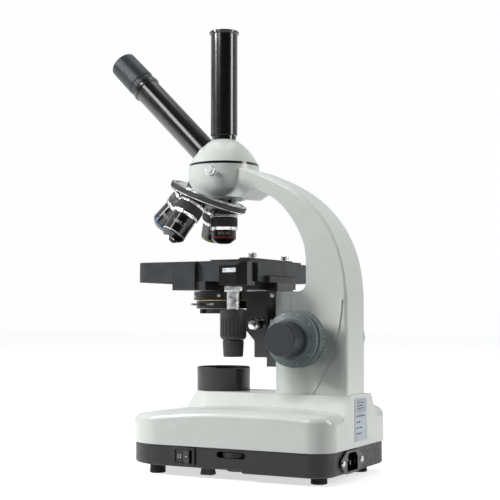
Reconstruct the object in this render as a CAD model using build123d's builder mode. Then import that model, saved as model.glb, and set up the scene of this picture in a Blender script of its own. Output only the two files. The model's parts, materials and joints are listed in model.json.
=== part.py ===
# A dual-view student microscope, in millimetres: +Z up, +X to the user's right, +Y away from the user.
# The origin is on the table, under the middle of the microscope's outline.
from build123d import *
import os
from math import cos, pi, radians, sin, tan

os.makedirs("parts", exist_ok=True)

# ---------------------------------------------------------------- driving dimensions
optical_y = -6.3  # the vertical optical axis stands this far in front of the origin
slide_gap = 0.3  # between bodies that slide or turn past each other
shaft_gap = 0.05  # radial, between a shaft and its bore

# base
base_width, base_front, base_back = 142.0, -73.0, 137.0  # front and back from the optical axis
front_corner_r, back_corner_r = 45.0, 20.0
tray_front_z, tray_back_z, seam_z = 9.5, 7.3, 28.0
crown_front_z, crown_middle_z, crown_back_z = 51.0, 61.5, 58.5  # the cover's arched top
pedestal_z = 73.0
tray_inset, tray_wall = 1.8, 3.0
deep_tray_from = 56.0  # the tray is deeper behind this line
pedestal_half, pedestal_flare = 24.5, 32.0  # half width at its top, and the slope of its sides

# arm and focus
arm_half, arm_wall = 20.4, 4.5
column_front, column_back, column_top_z = 64.6, 133.0, 163.0
inner_curve_back = 94.3  # where the inside of the arch comes down to the column
focus_back, focus_z = 95.5, 121.7  # the focus shaft, behind the optical axis
pinion_teeth, pinion_module = 16, 0.75
pinion_r = pinion_teeth * pinion_module / 2
coarse_inner_x, coarse_outer_x, fine_outer_x = 36.0, 57.0, 75.0

# head and tubes
seat_z, dome_z, dome_top_z = 280.6, 283.0, 306.0
tube_r, tube_bore_r, tube_flange_r = 12.55, 11.6, 14.0
tube_top_z = 409.5
tilted_tube_z, tilt_of_tube = 276.0, 45.0
tilted_tube_length, eyepiece_end = 125.4, 163.0  # along the tilted tube from the optical axis

# nosepiece: every objective axis passes through the apex
apex_z, nosepiece_tilt, seat_distance = 291.0, 24.0, 52.0
thread_r = 10.1

# stage
stage_top_z, stage_bottom_z = 189.5, 171.6
stage_left, stage_right, stage_front, stage_back = -62.0, 64.0, -57.0, 60.0
knob_x, knob_back = 58.0, 42.0  # the coaxial stage knobs, behind the optical axis
saddle_bottom_z, saddle_top_z = 171.0, 176.6
ring_top_z = 164.0  # the top of the condenser's mounting ring, under the saddle
carrier_front, carrier_back = 53.0, 64.1


def behind(distance):
    """The Y of a point this far behind the optical axis."""
    return optical_y + distance


def level(z):
    """A horizontal plane at height z with its origin on the optical axis."""
    return Plane((0, optical_y, z))


def standing(x, y, z=0):
    """A horizontal plane for a piece turned about a vertical axis through x, y."""
    return Plane((x, y, z))


def turned(plane, outline):
    """A solid turned about the plane's normal, from points (radius, height)."""
    side = Plane(plane.origin, x_dir=plane.x_dir, z_dir=-plane.y_dir)
    with BuildPart(mode=Mode.PRIVATE) as piece:
        with BuildSketch(side):
            with BuildLine():
                Polyline(*outline, close=True)
            make_face()
        revolve(axis=Axis(plane.origin, plane.z_dir))
    return piece


def block(x_range, y_range, z_range):
    """A box between two limits on each axis."""
    low = (x_range[0], y_range[0], z_range[0])
    size = (x_range[1] - low[0], y_range[1] - low[1], z_range[1] - low[2])
    corner = (Align.MIN, Align.MIN, Align.MIN)
    return Pos(*low) * Box(*size, align=corner, mode=Mode.PRIVATE)


def rod(plane, radius, start, end):
    """A cylinder along the plane's normal."""
    on_start = (Align.CENTER, Align.CENTER, Align.MIN)
    return plane.offset(start).location * Cylinder(
        radius, end - start, align=on_start, mode=Mode.PRIVATE
    )


# ================================================================ base
def base_plan(inset):
    """The base seen from above, inset from its outer wall."""
    front, back = behind(base_front) + inset, behind(base_back) - inset
    with BuildSketch(Plane.XY, mode=Mode.PRIVATE) as plan:
        with Locations((0, (front + back) / 2)):
            Rectangle(base_width - 2 * inset, back - front)
        fillet(plan.vertices().group_by(Axis.Y)[0], max(front_corner_r - inset, 20))
        fillet(plan.vertices().group_by(Axis.Y)[-1], max(back_corner_r - inset, 8))
    return plan.sketch


def pedestal_plan(half_width):
    """The pedestal seen from above: a round nose about the optical axis, running to the back."""
    with BuildSketch(Plane.XY, mode=Mode.PRIVATE) as plan:
        with Locations((0, optical_y)):
            Circle(half_width)
        with Locations((0, behind(base_back) / 2 + optical_y / 2)):
            Rectangle(2 * half_width, base_back)
    return plan.sketch


def crown(drop, inset):
    """What lies under the cover's arched top, lowered by drop and inset from the outer wall."""
    with BuildPart(mode=Mode.PRIVATE) as under_arch:
        with BuildSketch(Plane.YZ.offset(-base_width / 2)):
            with BuildLine():
                ThreePointArc(
                    (behind(base_front), crown_front_z - drop),
                    (behind((base_front + base_back) / 2), crown_middle_z - drop),
                    (behind(base_back), crown_back_z - drop),
                )
                Polyline(
                    (behind(base_back), crown_back_z - drop), (behind(base_back), seam_z),
                    (behind(base_front), seam_z), (behind(base_front), crown_front_z - drop),
                )
            make_face()
        extrude(amount=base_width)
        with BuildSketch(Plane.XY.offset(seam_z)):
            add(base_plan(inset))
        extrude(amount=crown_middle_z - seam_z, mode=Mode.INTERSECT)
    return under_arch


cover_wall, crown_wall = 3.5, 4.5
shoulder_r = 9.0
foot_z = 45.0
foot_half = pedestal_half + (pedestal_z - foot_z) * tan(radians(pedestal_flare))
lamp_hole_r = 17.0

with BuildPart() as base_cover:
    add(crown(0, 0).part)
    fillet(base_cover.faces().sort_by(Axis.Z)[-1].edges(), shoulder_r)
    with BuildSketch(Plane.XY.offset(foot_z)):
        add(pedestal_plan(foot_half))
    with BuildSketch(Plane.XY.offset(pedestal_z)):
        add(pedestal_plan(pedestal_half))
    loft(ruled=True)
    pedestal_rim = base_cover.faces().sort_by(Axis.Z)[-1].edges().filter_by_position(
        Axis.Y, behind(-pedestal_half) - 1, behind(base_back) - 1
    )
    fillet(pedestal_rim, 1.5)
    # the hollow inside, and the one in the pedestal
    add(crown(crown_wall, crown_wall).part, mode=Mode.SUBTRACT)
    with BuildSketch(Plane.XY.offset(foot_z)):
        with Locations((0, behind(0))):
            Circle(pedestal_half - cover_wall)
        with Locations((0, behind(48))):
            Rectangle(2 * (pedestal_half - cover_wall), 96)
    extrude(amount=pedestal_z - cover_wall - foot_z, mode=Mode.SUBTRACT)
    with Locations(level(pedestal_z)):
        Cylinder(lamp_hole_r, 20, mode=Mode.SUBTRACT)
base_cover.part.label = "base_cover"
export_step(base_cover.part, "parts/base_cover.step")

# openings in the tray: switch and dimmer on the right, mains inlet at the back
tray_side_x = base_width / 2 - tray_inset
tray_back_y = behind(base_back) - tray_inset
switch_y, switch_z = behind(-0.6), 19.0
dimmer_y, dimmer_z = behind(45.8), 22.3
wheel_r, wheel_thick, wheel_proud = 13.0, 4.4, 0.8
wheel_x = tray_side_x + wheel_proud - wheel_r
inlet_x, inlet_z = 18.6, 17.2
pocket_wide, pocket_high, pocket_deep = 26.0, 17.5, 15.0
post_r = 3.0

with BuildPart() as base_tray:
    with BuildSketch(Plane.XY.offset(tray_front_z)):
        add(base_plan(tray_inset))
    extrude(amount=seam_z - tray_front_z)
    with BuildSketch(Plane.XY.offset(tray_back_z)):
        add(base_plan(tray_inset))
        with Locations((0, behind(deep_tray_from) - 100)):
            Rectangle(base_width, 200, mode=Mode.SUBTRACT)
    extrude(amount=seam_z - tray_back_z)
    fillet(base_tray.edges().filter_by_position(Axis.Z, tray_back_z - 0.1, tray_back_z + 0.1), 2)
    front_rim = base_tray.faces().filter_by(Axis.Z).sort_by(Axis.Z)[1].edges()
    fillet(front_rim.filter_by_position(Axis.Y, behind(base_front), behind(deep_tray_from) - 1), 2)
    with Locations(Pos(wheel_x, dimmer_y, tray_front_z)):
        Cylinder(9, 2.8)  # the dimmer's bump under the tray
    with BuildSketch(Plane.YZ.offset(50)):  # the catch, a dovetail under the tray
        with Locations((behind(15), tray_front_z)):
            Polygon((-4, 0), (-5.5, -7), (5.5, -7), (4, 0), align=None)
    extrude(amount=9)
    with BuildSketch(Plane.XY.offset(tray_front_z + tray_wall)):
        add(base_plan(tray_inset + tray_wall))
    extrude(amount=seam_z - tray_front_z, mode=Mode.SUBTRACT)
    add(block((-50, 50), (behind(deep_tray_from) + tray_wall, tray_back_y - 12),
              (tray_back_z + tray_wall, seam_z)), mode=Mode.SUBTRACT)
    wheel_axis = standing(wheel_x, dimmer_y)
    add(rod(wheel_axis, 6, tray_front_z + 1, dimmer_z - wheel_thick / 2 - slide_gap))
    add(rod(wheel_axis, post_r, tray_front_z + 1, dimmer_z + 3))
    with BuildSketch(Plane.YZ.offset(tray_side_x - 8)):
        with Locations((switch_y, switch_z)):
            Rectangle(19.2, 13.2)
        with Locations((dimmer_y, dimmer_z)):
            SlotOverall(28, 5.6)
    extrude(amount=9, mode=Mode.SUBTRACT)
    with BuildSketch(Plane.XZ.offset(-tray_back_y - 1)):
        with Locations((inlet_x, inlet_z)):
            Rectangle(pocket_wide + 0.2, pocket_high + 0.2)
    extrude(amount=pocket_deep + 4.2, mode=Mode.SUBTRACT)
base_tray.part.label = "base_tray"
export_step(base_tray.part, "parts/base_tray.step")

foot_r = 7.2
foot_places = [
    (47, behind(-42), tray_front_z),
    (-47, behind(-42), tray_front_z),
    (44, behind(117), tray_back_z),
    (-44, behind(117), tray_back_z),
]
with BuildPart() as feet:
    for foot_x, foot_y, foot_top in foot_places:
        add(turned(standing(foot_x, foot_y), [
            (0, 0), (foot_r - 0.6, 0), (foot_r, 0.6), (foot_r - 0.4, foot_top), (0, foot_top)
        ]).part)
feet.part.label = "feet"
export_step(feet.part, "parts/feet.step")

label_thick = 0.3
with BuildPart() as rating_label:
    with BuildSketch(Plane.XZ.offset(-behind(base_back) - label_thick)):
        with Locations((0, 51.5)):
            RectangleRounded(27, 37, 1)
    extrude(amount=label_thick)
rating_label.part.label = "rating_label"
export_step(rating_label.part, "parts/rating_label.step")

# rocker switch
bezel_thick = 1.6
rocker_half, rocker_high = 7.6, 11.0
rocker_pivot_x = tray_side_x - 3.0
rocker_tilt = 10.0
with BuildPart() as switch_bezel:
    with BuildSketch(Plane.YZ.offset(tray_side_x)):
        with Locations((switch_y, switch_z)):
            RectangleRounded(22, 15.6, 1)
    extrude(amount=bezel_thick)
    with BuildSketch(Plane.YZ.offset(tray_side_x)):
        with Locations((switch_y, switch_z)):
            Rectangle(19, 13)
    extrude(amount=-14)
    with BuildSketch(Plane.YZ.offset(tray_side_x + bezel_thick)):
        with Locations((switch_y, switch_z)):
            Rectangle(17.2, rocker_high + 0.5)
    extrude(amount=-12, mode=Mode.SUBTRACT)
switch_bezel.part.label = "switch_bezel"
export_step(switch_bezel.part, "parts/switch_bezel.step")

with BuildPart() as rocker:
    with BuildSketch(Plane.XY.offset(switch_z - rocker_high / 2)):
        with Locations(Location((rocker_pivot_x, switch_y, 0), (0, 0, -rocker_tilt))):
            Polygon(
                (-4, -5), (3, -rocker_half), (5.2, -rocker_half), (3.6, 0),
                (5.2, rocker_half), (3, rocker_half), (-4, 5), align=None,
            )
    extrude(amount=rocker_high)
rocker.part.label = "rocker"
export_step(rocker.part, "parts/rocker.step")

with BuildPart() as dimmer_wheel:
    with Locations(Pos(wheel_x, dimmer_y, dimmer_z)):
        Cylinder(wheel_r, wheel_thick)
        Cylinder(post_r + shaft_gap, wheel_thick, mode=Mode.SUBTRACT)
        with PolarLocations(wheel_r + 0.2, 40):
            Cylinder(0.6, wheel_thick, mode=Mode.SUBTRACT)
dimmer_wheel.part.label = "dimmer_wheel"
export_step(dimmer_wheel.part, "parts/dimmer_wheel.step")

# mains inlet: flange, pocket with three pins, two screws
flange_thick, screw_reach = 1.8, 20.0
with BuildPart() as inlet_body:
    with BuildSketch(Plane.XZ.offset(-tray_back_y)):
        with Locations((inlet_x, inlet_z)):
            RectangleRounded(28, 19.4, 2)
            with Locations((-screw_reach, 0), (screw_reach, 0)):
                Circle(4.5)
        make_hull()
    extrude(amount=-flange_thick)
    with BuildSketch(Plane.XZ.offset(-tray_back_y)):
        with Locations((inlet_x, inlet_z)):
            Rectangle(pocket_wide, pocket_high)
    extrude(amount=pocket_deep + 3)
    with BuildSketch(Plane.XZ.offset(-tray_back_y - flange_thick)):
        with Locations((inlet_x, inlet_z)):
            Polygon(
                (-11.5, -7.7), (11.5, -7.7), (11.5, 3.5), (7.5, 7.7), (-7.5, 7.7), (-11.5, 3.5),
                align=None,
            )
    extrude(amount=pocket_deep + flange_thick, mode=Mode.SUBTRACT)
inlet_body.part.label = "inlet_body"
export_step(inlet_body.part, "parts/inlet_body.step")

with BuildPart() as inlet_pins:
    with BuildSketch(Plane.XZ.offset(-tray_back_y + pocket_deep)):
        with Locations((inlet_x, inlet_z)):
            with Locations((-7, -2), (7, -2), (0, 2)):
                Rectangle(2, 4)
    extrude(amount=-12)
inlet_pins.part.label = "inlet_pins"
export_step(inlet_pins.part, "parts/inlet_pins.step")

with BuildPart() as inlet_screws:
    for side in (-1, 1):
        head_plane = Plane.XZ.offset(-tray_back_y - flange_thick)
        with BuildSketch(head_plane):
            with Locations((inlet_x + side * screw_reach, inlet_z)):
                Circle(2.9)
        extrude(amount=-1.0, taper=25)
inlet_screws.part.label = "inlet_screws"
export_step(inlet_screws.part, "parts/inlet_screws.step")

# transformer in the deep part of the tray
with BuildPart() as transformer:
    add(block((-50, -8), (behind(68), behind(102)), (tray_front_z + tray_wall, 37)))
    add(block((-44, -14), (behind(62), behind(108)), (tray_front_z + tray_wall + 4, 32)))
transformer.part.label = "transformer"
export_step(transformer.part, "parts/transformer.step")

lamp_base_z, lamp_top_z = 58.0, 70.0
floor_z = tray_front_z + tray_wall
led_lamp = turned(level(0), [
    (0, floor_z), (9, floor_z), (9, floor_z + 3), (4, floor_z + 6), (4, lamp_base_z - 6),
    (12, lamp_base_z - 6), (12, lamp_base_z), (5, lamp_base_z), (5, lamp_top_z - 3),
    (3, lamp_top_z - 0.5), (0, lamp_top_z),
])
led_lamp.part.label = "led_lamp"
export_step(led_lamp.part, "parts/led_lamp.step")

cup_r, cup_top_z, lens_seat_z = 24.6, 94.6, 82.0
with BuildPart() as collector_cup:
    add(turned(level(0), [
        (lamp_hole_r, pedestal_z), (cup_r, pedestal_z), (cup_r, cup_top_z - 0.6),
        (cup_r - 0.6, cup_top_z), (cup_r - 1.8, cup_top_z), (cup_r - 1.8, lens_seat_z),
        (lamp_hole_r, lens_seat_z),
    ]).part)
    # the rim is cut lower over the back right quarter, where the filter ring lifts out
    with BuildSketch(level(cup_top_z - 1.2)):
        with BuildLine():
            Polyline((0, 0), (45, 12), (45, 45), (-10, 45), close=True)
        make_face()
    extrude(amount=5, mode=Mode.SUBTRACT)
collector_cup.part.label = "collector_cup"
export_step(collector_cup.part, "parts/collector_cup.step")

collector_lens_r, collector_lens_thick, collector_curve_r = cup_r - 1.9, 6.0, 59.5
with BuildPart() as collector_lens:
    add(rod(level(lens_seat_z), collector_lens_r, 0, collector_lens_thick))
    with Locations(level(lens_seat_z + collector_lens_thick - collector_curve_r)):
        Sphere(collector_curve_r, mode=Mode.INTERSECT)
collector_lens.part.label = "collector_lens"
export_step(collector_lens.part, "parts/collector_lens.step")

# ================================================================ nosepiece frame
tilt = radians(nosepiece_tilt)
nosepiece_plane = Plane((0, optical_y, apex_z), x_dir=(1, 0, 0), z_dir=(0, sin(tilt), cos(tilt)))


def objective_plane(turn):
    """The seat of the objective at this turn about the nosepiece axis, its normal pointing down it."""
    across = nosepiece_plane.x_dir * cos(radians(turn)) + nosepiece_plane.y_dir * sin(radians(turn))
    down = across * sin(tilt) - nosepiece_plane.z_dir * cos(tilt)
    side = across * cos(tilt) + nosepiece_plane.z_dir * sin(tilt)
    return Plane(nosepiece_plane.origin + down * seat_distance, x_dir=side, z_dir=down)


# ================================================================ arm
housing_r, housing_low_z, housing_floor_z = 33.0, 270.0, 250.0
dovetail_r, dovetail_low_z = 24.0, 266.0
light_r = 7.0
plate_top, plate_under = -37.0, -39.6  # the fixed plate, along the nosepiece axis
boss_r, boss_top = 23.0, -33.0

with BuildPart() as nosepiece_housing:
    with BuildSketch(Plane.YZ):
        with BuildLine():
            Polyline(
                (behind(21), housing_floor_z), (behind(light_r), housing_floor_z),
                (behind(light_r), dovetail_low_z - slide_gap),
                (behind(dovetail_r + slide_gap), dovetail_low_z - slide_gap),
                (behind(dovetail_r + slide_gap), seat_z), (behind(housing_r), seat_z),
                (behind(housing_r), housing_low_z),
            )
            ThreePointArc(
                (behind(housing_r), housing_low_z), (behind(29.5), 258), (behind(21), housing_floor_z)
            )
        make_face()
    revolve(axis=Axis((0, optical_y, 0), (0, 0, 1)))
    split(bisect_by=nosepiece_plane.offset(plate_top), keep=Keep.TOP)
    add(rod(nosepiece_plane, boss_r, plate_top - 1, boss_top), mode=Mode.SUBTRACT)
nosepiece_housing.part.label = "nosepiece_housing"

block_half, groove_half = 14.2, 17.2  # the focus block's neck and its wide part
cavity_low_z, cavity_top_z = 75.0, 157.0
cavity_back = focus_back + pinion_r + 3
lip_back = 70.0  # the block's wide part starts behind the channel's lips
bush_r, boss_of_shaft_r, boss_end_x = 7.0, 11.0, 34.0
shaft_plane = Plane((0, behind(focus_back), focus_z), x_dir=(0, 1, 0), z_dir=(1, 0, 0))

with BuildPart() as arm:
    with BuildSketch(Plane.YZ.offset(-arm_half)):
        with BuildLine():
            Polyline(
                (behind(20), 279), (behind(5), 279), (behind(5), 252), (behind(28), 249.5),
                (behind(42), 257.3),
            )
            Spline(
                (behind(42), 257.3), (behind(70.2), 240.4), (behind(87.6), 215.9),
                (behind(inner_curve_back), 184), tangents=[(0.9, -0.35), (0, -1)],
            )
            Line((behind(inner_curve_back), 184), (behind(inner_curve_back), column_top_z + 8))
            RadiusArc(
                (behind(inner_curve_back), column_top_z + 8),
                (behind(inner_curve_back - 8), column_top_z), 8,
            )
            Polyline(
                (behind(inner_curve_back - 8), column_top_z), (behind(column_front), column_top_z),
                (behind(column_front), pedestal_z), (behind(column_back), pedestal_z),
                (behind(column_back), 155),
            )
            Spline(
                (behind(column_back), 155), (behind(117), 218.2), (behind(86), 251),
                (behind(51.3), 269.5), (behind(20), 279), tangents=[(0, 1), (-1, 0.22)],
            )
        make_face()
    extrude(amount=2 * arm_half)
    long_edges = arm.edges().filter_by_position(Axis.Y, behind(35), behind(column_back) + 1)
    outer = long_edges.filter_by(GeomType.BSPLINE).sort_by(SortBy.LENGTH)[-2:]
    straight = long_edges.filter_by(Axis.Z).filter_by_position(
        Axis.Y, behind(column_back) - 1, behind(column_back) + 1
    )
    fillet(outer + straight, 3)
    # a thin raised rib runs down both sides from the back edge to the foot
    for side in (-1, 1):
        with BuildSketch(Plane.YZ.offset(side * (arm_half - 1))):
            with BuildLine():
                ThreePointArc((behind(127.5), 156), (behind(118.5), 111), (behind(98.6), pedestal_z))
                Line((behind(98.6), pedestal_z), (behind(100.6), pedestal_z))
                ThreePointArc((behind(100.6), pedestal_z), (behind(120.2), 110.6), (behind(128.9), 156))
                Line((behind(128.9), 156), (behind(127.5), 156))
            make_face()
        extrude(amount=side * 1.8)
    # the back of the column is a hollow casting, open at the bottom
    add(block((-arm_half + arm_wall, arm_half - arm_wall), (behind(cavity_back + arm_wall),
              behind(column_back - arm_wall)), (pedestal_z - 1, 185)), mode=Mode.SUBTRACT)
    # bosses for the focus shaft
    add(rod(shaft_plane, boss_of_shaft_r, -boss_end_x, boss_end_x))
    # the channel that the focus block slides in, its gear space and the shaft bore
    wide, narrow = groove_half + slide_gap, block_half + slide_gap
    add(block((-wide, wide), (behind(lip_back) - slide_gap, behind(cavity_back)),
              (cavity_low_z, cavity_top_z)), mode=Mode.SUBTRACT)
    add(block((-narrow, narrow), (behind(column_front) - 1, behind(lip_back)),
              (cavity_low_z, cavity_top_z)), mode=Mode.SUBTRACT)
    add(rod(shaft_plane, bush_r, -boss_end_x - 1, boss_end_x + 1), mode=Mode.SUBTRACT)
    # room for the round housing under the head and for the nosepiece boss
    with Locations(level(265)):
        Cylinder(light_r + 4, 40, mode=Mode.SUBTRACT)
    add(rod(level(0), housing_r, housing_low_z, seat_z + 1), mode=Mode.SUBTRACT)
    add(turned(level(0), [(0, housing_floor_z), (21, housing_floor_z), (25.6, 253), (29.5, 258),
                          (32.1, 264), (housing_r, housing_low_z), (0, housing_low_z)]).part,
        mode=Mode.SUBTRACT)
    add(nosepiece_housing.part, mode=Mode.SUBTRACT)
    add(rod(nosepiece_plane, boss_r + 0.5, plate_under - 6, boss_top), mode=Mode.SUBTRACT)
arm.part.label = "arm"
export_step(arm.part, "parts/arm.step")

# the lock screw stands out of the housing to the right, a little towards the back
lock_turn, lock_z = radians(13), 272.3
lock_plane = Plane(
    (0, optical_y, lock_z), x_dir=(-sin(lock_turn), cos(lock_turn), 0),
    z_dir=(cos(lock_turn), sin(lock_turn), 0),
)
lock_shank_r, lock_knob_r = 2.0, 4.6
with BuildPart() as bored_housing:
    add(nosepiece_housing.part)
    add(rod(lock_plane, lock_shank_r + shaft_gap, dovetail_r, housing_r + 5), mode=Mode.SUBTRACT)
bored_housing.part.label = "nosepiece_housing"
export_step(bored_housing.part, "parts/nosepiece_housing.step")

with BuildPart() as lock_screw:
    add(turned(lock_plane, [
        (0, dovetail_r - 0.6), (1.0, dovetail_r - 0.6), (lock_shank_r, dovetail_r + 0.6),
        (lock_shank_r, 38), (lock_knob_r - 0.6, 38), (lock_knob_r, 38.8), (lock_knob_r, 46.2),
        (lock_knob_r - 0.8, 47), (0, 47),
    ]).part)
    knurls = [
        lock_plane.offset(42.5).location * Pos(cos(a) * lock_knob_r, sin(a) * lock_knob_r, 0)
        * Cylinder(0.35, 7.4, mode=Mode.PRIVATE)
        for a in [2 * pi * n / 24 for n in range(24)]
    ]
    add(knurls, mode=Mode.SUBTRACT)
lock_screw.part.label = "lock_screw"
export_step(lock_screw.part, "parts/lock_screw.step")

seam_ring = turned(level(0), [
    (dovetail_r + 0.5, seat_z), (32.6, seat_z), (32.6, dome_z - slide_gap),
    (dovetail_r + 0.5, dome_z - slide_gap),
])
seam_ring.part.label = "seam_ring"
export_step(seam_ring.part, "parts/seam_ring.step")

# ================================================================ head
tilted_direction = (0, -sin(radians(tilt_of_tube)), cos(radians(tilt_of_tube)))
tilted_plane = Plane((0, optical_y, tilted_tube_z), x_dir=(1, 0, 0), z_dir=tilted_direction)
neck_r, neck_bore_r, spigot_r = 11.2, 7.5, 9.0
tube_start = 28.0  # along the tilted tube

with BuildPart() as head_shell:
    with BuildSketch(Plane.YZ):
        with BuildLine():
            ThreePointArc(
                (behind(31.8), dome_z), (behind(23.4), 296), (behind(neck_r + 0.3), dome_top_z)
            )
            Polyline(
                (behind(neck_r + 0.3), dome_top_z), (behind(spigot_r), dome_top_z),
                (behind(spigot_r), dome_top_z - 3.2),
            )
            ThreePointArc(
                (behind(spigot_r), dome_top_z - 3.2), (behind(20.5), 293.6), (behind(28.6), dome_z)
            )
            Line((behind(28.6), dome_z), (behind(31.8), dome_z))
        make_face()
    revolve(axis=Axis((0, optical_y, 0), (0, 0, 1)))
    add(rod(tilted_plane, tube_r, tube_start - 10, 60), mode=Mode.SUBTRACT)
head_shell.part.label = "head_shell"
export_step(head_shell.part, "parts/head_shell.step")

head_dovetail = turned(level(0), [
    (10, dovetail_low_z), (dovetail_r, dovetail_low_z), (dovetail_r, lock_z - 2.3),
    (dovetail_r - 1.6, lock_z), (dovetail_r, lock_z + 2.3), (dovetail_r, dome_z), (28.4, dome_z),
    (26.4, dome_z + 3), (10, dome_z + 3),
])
head_dovetail.part.label = "head_dovetail"
export_step(head_dovetail.part, "parts/head_dovetail.step")

prism_half, prism_low_z, prism_top_z = 8.5, 286.0, 296.0
with BuildPart() as beam_prism:
    with BuildSketch(Plane.YZ.offset(-prism_half)):
        with BuildLine():
            Polyline(
                (behind(-prism_half), prism_low_z), (behind(prism_half), prism_low_z),
                (behind(prism_half), prism_top_z), (behind(-2), prism_top_z),
                (behind(-prism_half), prism_top_z - 6), close=True,
            )
        make_face()
    extrude(amount=2 * prism_half)
beam_prism.part.label = "beam_prism"
export_step(beam_prism.part, "parts/beam_prism.step")

bore_floor_z = 314.0
vertical_tube = turned(level(0), [
    (neck_bore_r, dome_top_z - 3.2), (spigot_r, dome_top_z - 3.2), (spigot_r, dome_top_z),
    (neck_r, dome_top_z), (neck_r, dome_top_z + 4), (tube_r, dome_top_z + 4.4),
    (tube_r, tube_top_z - 3), (tube_flange_r - 0.5, tube_top_z - 2.6), (tube_flange_r, tube_top_z - 2),
    (tube_flange_r, tube_top_z - 0.6), (tube_flange_r - 0.6, tube_top_z), (tube_bore_r, tube_top_z),
    (tube_bore_r, bore_floor_z), (neck_bore_r, bore_floor_z),
])
vertical_tube.part.label = "vertical_tube"
export_step(vertical_tube.part, "parts/vertical_tube.step")

inclined_tube = turned(tilted_plane, [
    (9.5, tube_start), (tube_r, tube_start), (tube_r, tilted_tube_length - 4),
    (tube_flange_r, tilted_tube_length - 3.5), (tube_flange_r, tilted_tube_length - 0.5),
    (tube_flange_r - 0.5, tilted_tube_length), (tube_bore_r, tilted_tube_length),
    (tube_bore_r, 70), (9.5, 70),
])
inclined_tube.part.label = "inclined_tube"
export_step(inclined_tube.part, "parts/inclined_tube.step")

# widefield eyepiece
barrel_r, barrel_start = tube_bore_r - shaft_gap, 95.0
rim_start, rim_end = tilted_tube_length + slide_gap, tilted_tube_length + 6
eyepiece_bore_r = 9.5
eyepiece_body = turned(tilted_plane, [
    (eyepiece_bore_r, barrel_start), (barrel_r - 0.4, barrel_start), (barrel_r, barrel_start + 0.4),
    (barrel_r, rim_start), (13.0, rim_start), (13.3, rim_start + 0.4), (13.3, rim_end - 0.6),
    (12.9, rim_end - 0.3), (12.9, rim_end), (13.7, rim_end + 0.6), (13.3, eyepiece_end - 1.2),
    (12.5, eyepiece_end - 0.2), (12.0, eyepiece_end), (11.4, eyepiece_end),
    (eyepiece_bore_r, eyepiece_end - 4),
])
eyepiece_body.part.label = "eyepiece_body"
export_step(eyepiece_body.part, "parts/eyepiece_body.step")

with BuildPart() as eyepiece_lenses:
    add(turned(tilted_plane, [
        (0, barrel_start + 2), (eyepiece_bore_r, barrel_start + 2), (eyepiece_bore_r, barrel_start + 3.5),
        (6, barrel_start + 4.6), (0, barrel_start + 5.2),
    ]).part)
    add(turned(tilted_plane, [
        (0, eyepiece_end - 10.5), (eyepiece_bore_r, eyepiece_end - 9), (eyepiece_bore_r, eyepiece_end - 6.5),
        (6, eyepiece_end - 5.3), (0, eyepiece_end - 4.8),
    ]).part)
eyepiece_lenses.part.label = "eyepiece_lenses"
export_step(eyepiece_lenses.part, "parts/eyepiece_lenses.step")

# ================================================================ nosepiece
pivot_r = 3.0
plate_r, race_r, ball_r, balls = 32.0, 30.0, 0.9, 36
rotor_top = plate_under - slide_gap
rotor_r, grip_r, grip_inner_r = 34.4, 37.2, 34.4
grip_top, grip_under = -38.2, -43.6

with BuildPart() as nosepiece_boss:
    add(rod(nosepiece_plane, boss_r, plate_top, boss_top))
    add(rod(level(0), light_r, housing_floor_z - 30, seat_z), mode=Mode.SUBTRACT)
nosepiece_boss.part.label = "nosepiece_boss"
export_step(nosepiece_boss.part, "parts/nosepiece_boss.step")

race_plane = nosepiece_plane.offset((plate_under + rotor_top) / 2)
race = race_plane.location * Torus(race_r, ball_r + 0.1)
with BuildPart() as nosepiece_plate:
    add(turned(nosepiece_plane, [
        (0, plate_under), (plate_r, plate_under), (plate_r, plate_under + 1.2),
        (plate_r - 2.2, plate_under + 1.2), (plate_r - 2.2, plate_top - 0.6),
        (plate_r - 4.5, plate_top - 0.6), (plate_r - 5, plate_top), (0, plate_top),
    ]).part)
    add(rod(nosepiece_plane, pivot_r, plate_under - 1, plate_top + 1), mode=Mode.SUBTRACT)
    add(rod(level(0), light_r, housing_floor_z - 30, seat_z), mode=Mode.SUBTRACT)
    add(race, mode=Mode.SUBTRACT)
nosepiece_plate.part.label = "nosepiece_plate"
export_step(nosepiece_plate.part, "parts/nosepiece_plate.step")

with BuildPart() as bearing_balls:
    with Locations(race_plane):
        with PolarLocations(race_r, balls):
            Sphere(ball_r)
bearing_balls.part.label = "bearing_balls"
export_step(bearing_balls.part, "parts/bearing_balls.step")

rotor_bottom = -51.6
pivot_screw = turned(nosepiece_plane, [
    (0, plate_top), (pivot_r, plate_top), (pivot_r, rotor_bottom - slide_gap),
    (5.5, rotor_bottom - slide_gap), (5.5, rotor_bottom - 1.5), (4.7, rotor_bottom - 2.3),
    (0, rotor_bottom - 2.3),
])
pivot_screw.part.label = "pivot_screw"
export_step(pivot_screw.part, "parts/pivot_screw.step")

objective_turns = {"4x": 90, "10x": 180, "40x": 270, "100x": 0}
seat_boss_r = 12.6
with BuildPart() as rotor:
    add(turned(nosepiece_plane, [
        (pivot_r + shaft_gap, -45.5), (10, -44.6), (16, -42.6), (20.6, rotor_top), (rotor_r, rotor_top),
        (rotor_r, grip_under), (36.2, grip_under), (36.2, grip_under - 0.8), (31, grip_under - 1.2),
        (24, -47.6), (10, -51.2), (pivot_r + shaft_gap, rotor_bottom),
    ]).part)
    for turn in objective_turns.values():
        add(rod(objective_plane(turn), seat_boss_r, -5.5, 0))
    split(bisect_by=nosepiece_plane.offset(rotor_top), keep=Keep.BOTTOM)
    for turn in objective_turns.values():
        add(turned(objective_plane(turn), [
            (0, -16), (thread_r + shaft_gap, -16), (thread_r + shaft_gap, 0), (seat_boss_r + 0.8, 0),
            (seat_boss_r + 0.8, 8), (0, 8),
        ]).part, mode=Mode.SUBTRACT)
    add(race, mode=Mode.SUBTRACT)
rotor.part.label = "rotor"
export_step(rotor.part, "parts/rotor.step")

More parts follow.
